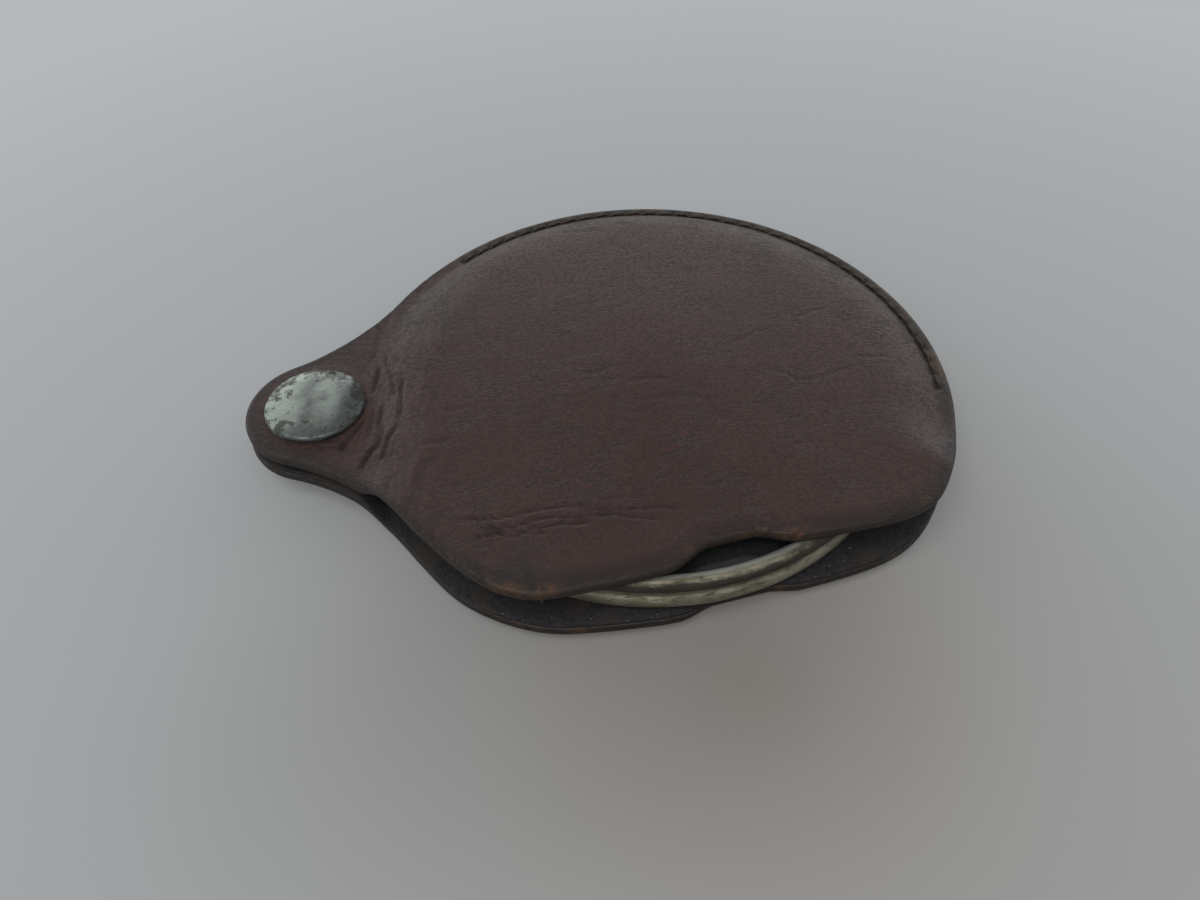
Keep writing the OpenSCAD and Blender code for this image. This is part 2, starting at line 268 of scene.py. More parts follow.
def inside(p):
    """Half height of the space inside the case."""
    opened = LUG_GAP + (over_lens(p) - LUG_GAP) * collar(p, *INNER_STEP)
    closed = sewn(p) * (1 - drape(p, BEAD_AT + LEAF_FIT, INNER_SWELL))
    return opened * (1 - closed) + crown(p) - pinched(p)


def outside(p):
    """Half height of a leaf's outer face: one even cushion over the rim, climbing gently to it."""
    middle = np.clip(1 - (np.hypot(*(p - LENS_AT).T) / RIM_R) ** 2, 0, None) ** 2
    top = LEAF_FIT + RIM_HALF + (LENS_HALF - RIM_HALF) * middle
    opened = LUG_GAP + (top - LUG_GAP) * collar(p, *OUTER_STEP)
    closed = sewn(p)
    draped = top * closed * drape(p, OUTER_CIRCLE, OUTER_SWELL)
    swollen = opened * (1 - closed) + draped + crown(p) - pinched(p)
    short = inside(p) - THINNING - swollen
    return LEAF + swollen + 0.5 * (short + np.sqrt(short ** 2 + BLEND))


def lined(face):
    """A face that lies further out than another one by the lining's thickness."""
    return lambda p: face(p) + LINING


def crownless(face):
    """A face as it is on the rear leaf, which lies on the table and has no crown."""
    return lambda p: face(p) - crown(p)


def smooth_noise(p, size, seed):
    """Soft noise over the plane, with features of the given size, about -1 to 1."""
    roughness, finer, octaves = 1.0, 2.0, 2
    shift_x, shift_y = seed * 7.3, -seed * 3.1
    points = (Vector((x / size + shift_x, y / size + shift_y, seed)) for x, y in p)
    return np.array([noise.fractal(point, roughness, finer, octaves) for point in points])


# Rows of a leaf's section: inset from the cut edge and share of the thickness, low face to high
LOW_EDGE = [(0.2, 0.0), (0.08, 0.03), (0.02, 0.10), (0.0, 0.22)]
HIGH_EDGE = [(0.0, 0.38), (0.0, 0.54), (0.03, 0.68), (0.09, 0.80), (0.18, 0.89), (0.3, 0.955),
             (0.45, 0.99), (0.62, 1.0)]
LINING_LOW = [(0.2, 0.0), (0.18, 0.3)]
LINING_HIGH = [(0.18, 0.7), (0.22, 1.0)]

# How much the rows of the low face gather towards the cut edge, and the most that an inset takes
# of a short column
LOW_GATHER = 1.15
MOST_INSET = 0.3

# Darker border along the seam: how far it goes up the foot of the swell, and how softly it ends
BORDER_OVER = 0.25
BORDER_SOFT = 0.35


def section_rows(low_edge, high_edge, low_count, high_count):
    """(absolute inset, share of the column, share of the thickness, high face) for each row."""
    low_shares = np.linspace(1, 0, low_count + 1)[:-1] ** LOW_GATHER
    high_shares = np.linspace(0, 1, high_count + 1)[1:]
    rows = [(low_edge[0][0], share, 0.0, False) for share in low_shares]
    rows += [(inset, 0.0, level, False) for inset, level in low_edge]
    rows += [(inset, 0.0, level, True) for inset, level in high_edge]
    rows += [(high_edge[-1][0], share, 1.0, True) for share in high_shares]
    return rows


def grid_places(piece, columns, rows):
    """Column and row of each vertex of a new grid."""
    flat = np.zeros(len(piece.data.vertices) * 3)
    piece.data.vertices.foreach_get("co", flat)
    flat = flat.reshape(-1, 3) + 0.5
    return np.rint(flat[:, 0] * columns).astype(int), np.rint(flat[:, 1] * rows).astype(int)


def close_sheet(fill_open_ends):
    """Sews up a sheet that was rolled into a tube or round a leaf, and fills its open ends."""
    bpy.ops.object.mode_set(mode="EDIT")
    bpy.ops.mesh.select_all(action="SELECT")
    bpy.ops.mesh.remove_doubles(threshold=1e-8)
    bpy.ops.mesh.select_all(action="DESELECT")
    bpy.ops.mesh.select_non_manifold()
    fill_open_ends()
    bpy.ops.mesh.select_all(action="SELECT")
    bpy.ops.mesh.normals_make_consistent(inside=False)
    bpy.ops.object.mode_set(mode="OBJECT")
    bpy.ops.object.shade_smooth()


def wrap_leaf(outline, low_face, high_face, rows, front, relief=None):
    """A sheet wrapped round a leaf: out along its low face, round the cut edge and back on top."""
    clean_start()
    columns = 2 * SIDE_COLUMNS
    bpy.ops.mesh.primitive_grid_add(x_subdivisions=columns, y_subdivisions=len(rows) - 1, size=1)
    piece = bpy.context.object
    mesh = piece.data
    column, row = grid_places(piece, columns, len(rows) - 1)

    outer = around(side_outline(1, outline), side_outline(-1, outline))
    inner = around(side_inner(1), side_inner(-1))
    way = inner - outer
    length = np.hypot(*way.T)
    inset, share, level, on_top = (np.array(x) for x in zip(*rows))
    reach = length[column]
    edge_part = np.minimum(inset[row], reach * MOST_INSET)
    walk = edge_part + (reach - edge_part) * share[row]
    point = outer[column] + way[column] * (walk / reach)[:, None]
    low, high = low_face(point), high_face(point)
    height = low + (high - low) * level[row]
    dark = np.zeros(len(height))
    if relief is not None:
        raised, dark = relief(point, walk, level[row] * on_top[row])
        height = height + raised
    z = MID_Z + height if front else MID_Z - height
    place = np.column_stack([point, z]) * MM
    mesh.vertices.foreach_set("co", place.ravel())
    past_foot = np.hypot(*point.T) - BODY_R + SEAM_WIDTH + BORDER_OVER
    sewn_border = sewn(point, neck_fade=3, end_hold=0, end_fade=8) * ease(past_foot / BORDER_SOFT)
    for label, values in (("edge", walk), ("level", level[row]), ("border", sewn_border),
                          ("dark", dark)):
        mesh.attributes.new(label, "FLOAT", "POINT").data.foreach_set("value", values)
    close_sheet(bpy.ops.mesh.bridge_edge_loops)
    return piece


# Creases of the front leaf, as lines over the plane: (depth, width, points). A valley is pressed
# deeper than its depth says by VALLEY, and its banks stand up by BANKS of it and are wider. A line
# strays by CREASE_STRAY in X and Y, and the deeper it is, the darker
VALLEY = 1.8
BANKS = 0.45
BANK_WIDTH = 2.6
CREASE_FADE = 0.22
CREASE_END = 0.15
CREASE_STRAY = np.array([0.12, 0.16])
CREASE_SHADE = 3.6
CREASE_DARKEST = 0.7
NECK_CREASES = [
    (0.20, 0.20, [(-25.5, 4.6), (-25.8, 3.2), (-26.0, 2.3), (-26.3, 0.8)]),
    (0.16, 0.20, [(-25.1, 6.4), (-24.8, 4.0), (-24.5, 2.3), (-24.2, 0.4), (-23.9, -1.4)]),
    (0.19, 0.22, [(-25.0, -0.6), (-25.4, -2.0), (-25.6, -3.2), (-25.4, -4.5), (-25.6, -5.7),
                  (-26.3, -6.5), (-26.8, -7.6), (-27.3, -8.8)]),
    (0.16, 0.18, [(-26.9, -2.0), (-27.4, -2.9), (-28.1, -4.1), (-28.6, -4.9), (-29.2, -6.2)]),
    (0.14, 0.18, [(-26.1, -1.2), (-26.4, -2.9), (-26.7, -4.8)]),
    (0.14, 0.20, [(-23.4, 1.6), (-23.5, -0.6), (-23.5, -2.2), (-23.7, -3.8)]),
    (0.18, 0.20, [(-23.7, -4.1), (-24.8, -5.7), (-24.9, -6.9), (-25.6, -8.4)]),
    (0.10, 0.18, [(-24.3, 5.6), (-23.6, 3.4), (-23.0, 1.4)]),
]
LONG_CREASES = [
    (0.12, 0.14, [(-19.5, -16.2), (-16.5, -16.4), (-13.5, -16.1), (-10.5, -15.9), (-7.5, -16.3)]),
    (0.10, 0.13, [(-18.5, -18.2), (-16.2, -17.9), (-13.6, -18.3), (-10.9, -18.6)]),
    (0.10, 0.13, [(-9.5, -16.6), (-6.5, -16.9), (-3.5, -17.2), (-0.5, -17.8)]),
    (0.14, 0.16, [(-17.6, -17.2), (-15.4, -17.4), (-13.0, -17.1), (-11.7, -16.8), (-9.6, -17.2)]),
    (0.12, 0.15, [(-15.6, -18.6), (-14.0, -18.1), (-11.3, -17.6), (-7.8, -18.0)]),
    (0.11, 0.15, [(-11.2, -16.8), (-9.0, -17.3), (-6.3, -17.4), (-4.6, -18.0), (-2.5, -18.6)]),
    (0.035, 0.24, [(-21.8, -7.3), (-20.5, -7.5), (-19.2, -7.2)]),
    (0.04, 0.22, [(-19.9, -3.5), (-19.1, -3.9), (-18.1, -3.8), (-17.0, -3.6)]),
    (0.035, 0.22, [(-19.6, -12.7), (-18.6, -12.3), (-17.5, -12.2)]),
    (0.03, 0.18, [(-11.6, -4.4), (-9.4, -4.0), (-8.2, -4.5), (-6.7, -4.0), (-5.8, -3.4)]),
    (0.035, 0.24, [(-7.5, -1.5), (-5.9, -1.6), (-4.1, -1.0)]),
    (0.035, 0.24, [(-3.8, -2.8), (-3.1, -3.3), (-0.7, -3.1), (0.8, -3.4)]),
    (0.03, 0.18, [(-3.8, -7.1), (-2.2, -7.0), (-1.2, -6.6), (0.0, -6.1)]),
    (0.03, 0.24, [(-11.0, -8.3), (-9.8, -8.4), (-8.0, -8.1)]),
    (0.03, 0.24, [(-2.7, -5.8), (-0.2, -5.6), (2.1, -5.9), (4.2, -6.4)]),
    (0.025, 0.18, [(7.0, 0.4), (8.9, 1.2), (10.1, 2.0), (11.8, 2.3)]),
    (0.04, 0.16, [(13.9, 3.7), (15.4, 3.9), (16.5, 4.5), (18.2, 4.8)]),
    (0.03, 0.18, [(9.2, -3.0), (11.4, -4.0), (11.9, -5.0), (14.2, -4.8), (17.3, -3.8),
                  (18.8, -3.0)]),
    (0.03, 0.24, [(18.6, -2.3), (20.2, -2.5), (22.0, -2.3)]),
]


def crease_valley(p, width, points):
    """How deep a point lies in one crease, 0..1, dying out at the crease's ends."""
    points = np.array(points)
    way = np.diff(points, axis=0)
    run = np.concatenate([[0], np.cumsum(np.hypot(*way.T))])
    best = np.full(len(p), 1e9)
    place = np.zeros(len(p))
    for start, step, at in zip(points[:-1], way, run):
        length = math.hypot(*step)
        share = np.clip(((p - start) @ step) / length ** 2, 0, 1)
        away = np.hypot(*(p - start - share[:, None] * step).T)
        nearer = away < best
        best[nearer] = away[nearer]
        place[nearer] = (at + share * length)[nearer]
    fade = CREASE_FADE * run[-1]
    ends = ease(place / fade + CREASE_END) * ease((run[-1] - place) / fade + CREASE_END)
    return np.exp(-(best / width) ** 2) * ends


def creases(p, wander):
    """Depth of the creases, less the height of their banks, and how dark their bottoms are."""
    low, high = (-31.0, -20.0), (23.5, 8.0)
    near = np.flatnonzero((p[:, 0] > low[0]) & (p[:, 1] > low[1])
                          & (p[:, 0] < high[0]) & (p[:, 1] < high[1]))
    depth, dark = np.zeros(len(p)), np.zeros(len(p))
    q = p[near] + wander[near][:, None] * CREASE_STRAY
    for deep, width, points in NECK_CREASES + LONG_CREASES:
        valley = crease_valley(q, width, points)
        bank = crease_valley(q, width * BANK_WIDTH, points)
        depth[near] += deep * (VALLEY * valley - BANKS * bank)
        dark[near] = np.maximum(dark[near], valley * min(CREASE_DARKEST, deep * CREASE_SHADE))
    return depth, dark


# Relief of a leaf's outer face. A shade is how dark a hollow is
BROAD_HEIGHT = 0.035
FINE_HEIGHT = 0.012
HOLE_DEPTH = 0.24
HOLE_LENGTH = 0.34
HOLE_WIDTH = 0.30
HOLE_SHADE = 0.65

# The row between the holes lies a little further in than they do, and goes past the seam's ends by
# ROW_PAST degrees
ROW_DEPTH = 0.03
ROW_WIDTH = 0.34
ROW_INSET = 0.05
ROW_PAST = 1.5
ROW_FADE = 2.0
ROW_SHADE = 0.25

# Folds at the neck, drawn out across the case, from one X to another as (X, fade)
FOLD_DEPTH = 0.06
FOLD_SIZE = 1.5
FOLD_SLANT = [[1, 0], [-0.12, 0.2]]
FOLD_WIDTH = 0.14
FOLD_REACH = ((-29, 3), (-18, 4))
FOLD_SHADE = 0.3

# Roll of the cut edge, from one angle to another as (angle, fade), and how far in it goes
EDGE_ROLL = 0.14
ROLL_REACH = ((-150, 25), (-15, 20))
ROLL_START = 0.3
ROLL_RUN = 1.6


def stitch_pull(p):
    """Masks of the seam's holes, where the leather is drawn in, and of the row between them."""
    angle = np.degrees(np.arctan2(p[:, 1], p[:, 0]))
    nearest = np.clip(np.rint((angle - SEAM_END) / STITCH_STEP), 0, STITCHES)
    along = np.radians(angle - (nearest * STITCH_STEP + SEAM_END)) * STITCH_R
    across = np.hypot(*p.T) - STITCH_R
    hole = np.exp(-(along / HOLE_LENGTH) ** 2 - (across / HOLE_WIDTH) ** 2)
    row = (np.exp(-((across + ROW_INSET) / ROW_WIDTH) ** 2)
           * ease((angle - SEAM_END + ROW_PAST) / ROW_FADE)
           * ease((SEAM_START + ROW_PAST - angle) / ROW_FADE))
    return hole, row


def neck_folds(p, seed):
    """Mask of the fine folds that run across the case where it narrows to the tab."""
    (start, start_fade), (end, end_fade) = FOLD_REACH
    wave = smooth_noise(p @ FOLD_SLANT, FOLD_SIZE, seed)
    folds = np.exp(-(wave / FOLD_WIDTH) ** 2)
    return folds * ease((end - p[:, 0]) / end_fade) * ease((p[:, 0] - start) / start_fade)


def rolled_edge(p, walk):
    """1 at the cut edge of the open side, where the leather rolls down, to 0 a little way in."""
    (start, start_fade), (end, end_fade) = ROLL_REACH
    angle = np.degrees(np.arctan2(p[:, 1], p[:, 0]))
    opening = ease((angle - start) / start_fade) * ease((end - angle) / end_fade)
    return opening * (1 - ease((walk - ROLL_START) / ROLL_RUN))


def outer_relief(seed, creased):
    """Relief of a leaf's outer face: soft unevenness, creases, the drawn-in seam and the edge."""
    def relief(p, walk, weight):
        hole, row = stitch_pull(p)
        broad = smooth_noise(p, 8, seed)
        fine = smooth_noise(p, 2.6, seed + 1)
        raised = BROAD_HEIGHT * broad + FINE_HEIGHT * fine - HOLE_DEPTH * hole - ROW_DEPTH * row
        dark = np.maximum(HOLE_SHADE * hole, ROW_SHADE * row)
        if creased:
            depth, shade = creases(p, fine)
            folds = neck_folds(p, seed + 4)
            raised = raised - depth - FOLD_DEPTH * folds - EDGE_ROLL * rolled_edge(p, walk)
            dark = np.maximum(np.maximum(dark, shade), FOLD_SHADE * folds)
        return weight * raised, dark * weight
    return relief


class Nodes:
    """Short ways to add nodes to a tree and to join them. Vectors are in millimetres."""

    def __init__(self, tree):
        self.tree = tree

    def add(self, kind, **values):
        node = self.tree.nodes.new(kind)
        for key, value in values.items():
            setattr(node, key, value)
        return node

    def join(self, source, target):
        self.tree.links.new(source, target)

    def feed(self, socket, value):
        """Joins a socket to another one, or sets its number or colour."""
        if hasattr(value, "is_output"):
            self.join(value, socket)
        elif isinstance(value, tuple) and len(value) == 3 and socket.type == "RGBA":
            socket.default_value = (*value, 1)
        else:
            socket.default_value = value

    def calc(self, operation, *inputs):
        node = self.add("ShaderNodeMath", operation=operation)
        for socket, value in zip(node.inputs, inputs):
            self.feed(socket, value)
        return node.outputs[0]

    def vector(self, operation, *inputs):
        node = self.add("ShaderNodeVectorMath", operation=operation)
        for socket, value in zip(node.inputs, inputs):
            self.feed(socket, value)
        return node.outputs["Value" if operation in ("LENGTH", "DISTANCE") else "Vector"]

    def band(self, value, low, high, first=0.0, last=1.0):
        """Takes a value from first to last as it goes from low to high, softly."""
        node = self.add("ShaderNodeMapRange", interpolation_type="SMOOTHSTEP")
        for socket, number in zip(node.inputs, (value, low, high, first, last)):
            self.feed(socket, number)
        return node.outputs["Result"]

    def noise(self, where, size, detail=2.0, rough=0.5):
        """Cloudy noise with features of a size in millimetres."""
        node = self.add("ShaderNodeTexNoise")
        self.join(where, node.inputs["Vector"])
        number = isinstance(size, (int, float))
        self.feed(node.inputs["Scale"], 1 / size if number else self.calc("DIVIDE", 1.0, size))
        node.inputs["Detail"].default_value = detail
        node.inputs["Roughness"].default_value = rough
        return node.outputs["Fac"]

    def mix(self, factor, first, second):
        """Blends two colours."""
        node = self.add("ShaderNodeMix", data_type="RGBA")
        self.feed(node.inputs[0], factor)
        colours = [socket for socket in node.inputs if socket.type == "RGBA"]
        self.feed(colours[0], first)
        self.feed(colours[1], second)
        return [socket for socket in node.outputs if socket.type == "RGBA"][0]

    def stretched(self, where, turn, scale):
        """Turns a place by some degrees about Z and scales it."""
        node = self.add("ShaderNodeMapping")
        node.inputs["Rotation"].default_value = (0, 0, math.radians(turn))
        node.inputs["Scale"].default_value = scale
        self.join(where, node.inputs["Vector"])
        return node.outputs[0]

    def millimetres(self):
        """Place on the piece in millimetres."""
        where = self.add("ShaderNodeTexCoord").outputs["Object"]
        scale = self.add("ShaderNodeVectorMath", operation="SCALE")
        scale.inputs["Scale"].default_value = 1 / MM
        self.join(where, scale.inputs[0])
        return scale.outputs[0]

    def attribute(self, name):
        return self.add("ShaderNodeAttribute", attribute_name=name).outputs["Fac"]

    def group(self, tree, **inputs):
        node = self.add("ShaderNodeGroup", node_tree=tree)
        for name, value in inputs.items():
            self.feed(node.inputs[name], value)
        return node.outputs

    def bump(self, height, shader):
        """Bump from a height in millimetres."""
        node = self.add("ShaderNodeBump")
        node.inputs["Distance"].default_value = MM
        self.join(height, node.inputs["Height"])
        self.join(node.outputs["Normal"], shader.inputs["Normal"])


def srgb(*levels):
    """A colour given as display levels of 0 to 255, as linear values."""
    return tuple(c / 255 / 12.92 if c <= 10 else ((c / 255 + 0.055) / 1.055) ** 2.4 for c in levels)


def new_material(name):
    """A material with one shader, and the means to add nodes to it."""
    material = bpy.data.materials.new(name)
    material.use_nodes = True
    material.node_tree.nodes.clear()
    nodes = Nodes(material.node_tree)
    shader = nodes.add("ShaderNodeBsdfPrincipled")
    out = nodes.add("ShaderNodeOutputMaterial")
    nodes.join(shader.outputs["BSDF"], out.inputs["Surface"])
    return material, shader, nodes


VECTOR, FLOAT = "NodeSocketVector", "NodeSocketFloat"


def new_group(name, inputs, outputs):
    """A node group: its tree, the means to add nodes, what it is given and what it puts out."""
    tree = bpy.data.node_groups.new(name, "ShaderNodeTree")
    for label, kind, value in inputs:
        socket = tree.interface.new_socket(label, in_out="INPUT", socket_type=kind)
        if value is not None:
            socket.default_value = value
    for label in outputs:
        tree.interface.new_socket(label, in_out="OUTPUT", socket_type=FLOAT)
    nodes = Nodes(tree)
    return tree, nodes, nodes.add("NodeGroupInput").outputs, nodes.add("NodeGroupOutput").inputs


def leather_grain():
    """Fine pebbled grain with hair-thin cracks along the case in patches."""
    tree, nodes, given, out = new_group(
        "leather_grain", [("Position", VECTOR, None), ("Pebble", FLOAT, 0.3)],
        ("Height", "Pits", "Cracks"))
    where = given["Position"]
    along = nodes.stretched(where, 8, (0.85, 1.0, 1.0))
    cells = nodes.add("ShaderNodeTexVoronoi", feature="SMOOTH_F1")
    cells.inputs["Smoothness"].default_value = 0.4
    nodes.join(along, cells.inputs["Vector"])
    nodes.join(nodes.calc("DIVIDE", 1.0, given["Pebble"]), cells.inputs["Scale"])
    away = cells.outputs["Distance"]
    fold = nodes.noise(nodes.stretched(where, 6, (0.8, 1.0, 1.0)), 0.3, 3.0, 0.65)
    swell = nodes.noise(where, 1.6, 2.0)
    line = nodes.noise(nodes.stretched(where, -9, (0.16, 1.0, 1.0)), 0.9, 4.0, 0.62)
    off_line = nodes.calc("ABSOLUTE", nodes.calc("SUBTRACT", line, 0.5))
    patch = nodes.band(nodes.noise(where, 6.0, 2.0), 0.42, 0.6)
    cracks = nodes.calc("MULTIPLY", nodes.band(off_line, 0.0, 0.028, 1.0, 0.0), patch)
    height = nodes.calc("MULTIPLY", nodes.band(away, 0.05, 0.7, 1.0, 0.0), 0.01)
    for part, depth in ((fold, 0.02), (swell, 0.03), (cracks, -0.055)):
        height = nodes.calc("MULTIPLY_ADD", part, depth, height)
    nodes.join(height, out["Height"])
    nodes.join(nodes.band(away, 0.35, 0.75), out["Pits"])
    nodes.join(cracks, out["Cracks"])
    return tree


def spots(nodes, where, places):
    """Mask of round places, each (x, y, radius, strength), whatever the height."""
    flat = nodes.vector("MULTIPLY", where, (1, 1, 0))
    mask = None
    for x, y, radius, strength in places:
        away = nodes.vector("DISTANCE", flat, (x, y, 0))
        spot = nodes.band(away, 0.0, radius, strength, 0.0)
        mask = spot if mask is None else nodes.calc("MAXIMUM", mask, spot)
    return mask


def leather_finish(name, grain, wear, stains_and_shade, edge_tones):
    """Dyed brown leather: grain, dark creases, sewn border, cut edge and orange worn places."""
    material, shader, nodes = new_material(name)
    where = nodes.millimetres()
    skin = nodes.group(grain, Position=where)
    edge, level = nodes.attribute("edge"), nodes.attribute("level")
    broad = nodes.noise(where, 9.0, 3.0, 0.55)
    tone = nodes.mix(nodes.band(broad, 0.35, 0.65), srgb(53, 32, 27), srgb(58, 36, 31))
    mottled = nodes.band(nodes.noise(where, 0.7, 4.0, 0.65), 0.4, 0.66, 0.0, 0.4)
    tone = nodes.mix(mottled, tone, srgb(42, 28, 25))
    tone = nodes.mix(nodes.calc("MULTIPLY", skin["Pits"], 0.7), tone, srgb(38, 25, 22))
    tone = nodes.mix(nodes.calc("MULTIPLY", skin["Cracks"], 0.75), tone, srgb(34, 24, 22))
    stained_and_shaded = nodes.calc("MULTIPLY", spots(nodes, where, stains_and_shade),
                         nodes.band(nodes.noise(where, 1.1, 4.0, 0.65), 0.38, 0.6))
    tone = nodes.mix(stained_and_shaded, tone, srgb(30, 27, 21))
    # Painted shade where the leather rolls down to its edge: darker for the last two millimetres
    tone = nodes.mix(nodes.band(edge, 0.6, 2.0, 0.75, 0.0), tone, srgb(27, 18, 16))
    # Cut edge: a dull band of dyed fibres
    fibres = nodes.noise(where, 0.4, 4.0, 0.7)
    raw = nodes.mix(nodes.band(fibres, 0.3, 0.7), *edge_tones)
    cut = nodes.calc("MULTIPLY", nodes.band(edge, 0.08, 0.42, 1.0, 0.0),
                     nodes.band(level, 0.8, 1.0, 1.0, 0.3))
    tone = nodes.mix(cut, tone, raw)
    # Sewn border: darker, with an olive tint and paler scuffs
    grime = nodes.mix(nodes.band(nodes.noise(where, 1.7, 4.0, 0.65), 0.42, 0.68),
                      srgb(36, 30, 24), srgb(58, 50, 39))
    tone = nodes.mix(nodes.calc("MULTIPLY", nodes.attribute("border"), 0.9), tone, grime)
    # Worn places along the edges
    close = nodes.band(edge, 0.25, 1.35, 1.0, 0.0)
    patchy = nodes.band(nodes.noise(where, 0.9, 5.0, 0.65), 0.42, 0.6)
    rubbed = nodes.calc("MULTIPLY", spots(nodes, where, wear), close)
    worn = nodes.calc("MULTIPLY", rubbed, patchy)
    tone = nodes.mix(worn, tone, srgb(80, 53, 32))
    # Shade in the creases and the holes of the seam
    tone = nodes.mix(nodes.calc("MULTIPLY", nodes.attribute("dark"), 0.8), tone, srgb(22, 16, 14))
    nodes.join(tone, shader.inputs["Base Color"])
    nodes.join(nodes.band(skin["Pits"], 0.0, 1.0, 0.5, 0.6), shader.inputs["Roughness"])
    shader.inputs["Specular IOR Level"].default_value = 0.33
    nodes.bump(skin["Height"], shader)
    return material


def lining_finish():
    """Dusty blue-black lining with a rough nap."""
    material, shader, nodes = new_material("case_lining_nap")
    where = nodes.millimetres()
    nap = nodes.noise(where, 0.28, 5.0, 0.72)
    patches = nodes.noise(where, 2.6, 3.0, 0.6)
    tone = nodes.mix(nodes.band(nap, 0.35, 0.65), srgb(33, 33, 37), srgb(52, 50, 52))
    tone = nodes.mix(nodes.band(patches, 0.48, 0.68, 0.0, 0.75), tone, srgb(60, 50, 43))
    specks = nodes.band(nodes.noise(where, 0.3, 1.0), 0.74, 0.78)
    tone = nodes.mix(specks, tone, srgb(120, 112, 96))
    nodes.join(tone, shader.inputs["Base Color"])
    shader.inputs["Roughness"].default_value = 0.9
    shader.inputs["Specular IOR Level"].default_value = 0.25
    nodes.bump(nodes.calc("MULTIPLY", nap, 0.16), shader)
    return material


def thread_finish():
    """Dark waxed thread."""
    material, shader, nodes = new_material("waxed_thread")
    fuzz = nodes.noise(nodes.millimetres(), 0.16, 4.0, 0.7)
    nodes.join(nodes.mix(fuzz, srgb(24, 19, 15), srgb(48, 39, 31)), shader.inputs["Base Color"])
    shader.inputs["Roughness"].default_value = 0.62
    nodes.bump(nodes.calc("MULTIPLY", fuzz, 0.06), shader)
    return material


def old_nickel():
    """Cloudy old nickel plate: dark specks, dull clouds and a pitted surface."""
    tree, nodes, given, out = new_group(
        "old_nickel", [("Position", VECTOR, None), ("Size", FLOAT, 0.8), ("Specks", FLOAT, 0.5)],
        ("Clouds", "Specks", "Height"))
    where = given["Position"]
    fine = nodes.noise(where, given["Size"], 6.0, 0.72)
    level = nodes.calc("MULTIPLY_ADD", given["Specks"], -0.28, 0.78)
    over = nodes.calc("SUBTRACT", fine, level)
    specks = nodes.band(over, -0.06, 0.07)
    nodes.join(specks, out["Specks"])
    clouds = nodes.noise(where, nodes.calc("MULTIPLY", given["Size"], 2.2), 4.0, 0.6)
    nodes.join(nodes.band(clouds, 0.36, 0.68), out["Clouds"])
    height = nodes.calc("MULTIPLY", nodes.noise(where, 0.35, 3.0, 0.6), 0.03)
    nodes.join(nodes.calc("MULTIPLY_ADD", specks, -0.02, height), out["Height"])
    return tree


def from_centre(nodes, where, centre):
    """Place from a centre in mid-plane, as X, Y and Z, and how far off it is over the plane."""
    moved = nodes.vector("SUBTRACT", where, (*centre, MID_Z))
    away = nodes.vector("LENGTH", nodes.vector("MULTIPLY", moved, (1, 1, 0)))
    split = nodes.add("ShaderNodeSeparateXYZ")
    nodes.join(moved, split.inputs[0])
    return split.outputs, away


def finish_nickel(nodes, shader, marks, tone, dirt_and_shade, chalk_and_highlight, rough):
    """Old nickel on a part: dirt, with painted shade on the rim, and a chalky film, with a painted
    highlight on the rim, both make it less of a metal.
    """
    tone = nodes.mix(dirt_and_shade, tone, srgb(34, 31, 25))
    nodes.join(tone, shader.inputs["Base Color"])
    bare = nodes.calc("MAXIMUM", nodes.calc("MULTIPLY", dirt_and_shade, 0.95), chalk_and_highlight)
    nodes.join(nodes.calc("SUBTRACT", 1.0, bare), shader.inputs["Metallic"])
    polish = nodes.band(marks["Clouds"], 0.0, 1.0, *rough)
    nodes.join(nodes.calc("MULTIPLY_ADD", dirt_and_shade, 0.35, polish), shader.inputs["Roughness"])
    shader.inputs["Specular IOR Level"].default_value = 0.3
    nodes.bump(marks["Height"], shader)


def cap_finish(nickel):
    """Cap: cloudy, with dark marks gathered in patches towards its edge."""
    material, shader, nodes = new_material("cap_old_nickel")
    where = nodes.millimetres()
    axes, away = from_centre(nodes, where, PIVOT)
    outward = nodes.band(away, CAP_R * 0.3, CAP_R * 1.02)
    patches = nodes.noise(where, 3.2, 2.0, 0.5)
    gathered = nodes.calc("MULTIPLY", outward, nodes.band(patches, 0.4, 0.62, 0.35, 1.25))
    marks = nodes.group(nickel, Position=where, Size=1.0,
                        Specks=nodes.calc("MULTIPLY_ADD", gathered, 0.55, 0.52))
    tone = nodes.mix(marks["Clouds"], srgb(154, 161, 155), srgb(104, 109, 105))
    # Painted highlight on the left, and painted shade on the right and along the near side
    to_right = nodes.calc("MULTIPLY_ADD", axes["Y"], -0.35, axes["X"])
    tone = nodes.mix(nodes.band(to_right, -3.6, 0.0, 0.7, 0.0), tone, srgb(176, 184, 177))
    tone = nodes.mix(nodes.band(to_right, 1.4, 3.6, 0.0, 0.8), tone, srgb(66, 68, 71))
    tone = nodes.mix(nodes.band(axes["Y"], -4.2, -2.2, 0.75, 0.0), tone, srgb(78, 82, 80))
    finish_nickel(nodes, shader, marks, tone, nodes.calc("MULTIPLY", marks["Specks"], 0.8),
                  0.0, (0.42, 0.55))
    return material


# Middle height of the rim's dirt and painted shade
DIRT_AND_SHADE_AT = 1.05  # above mid-plane


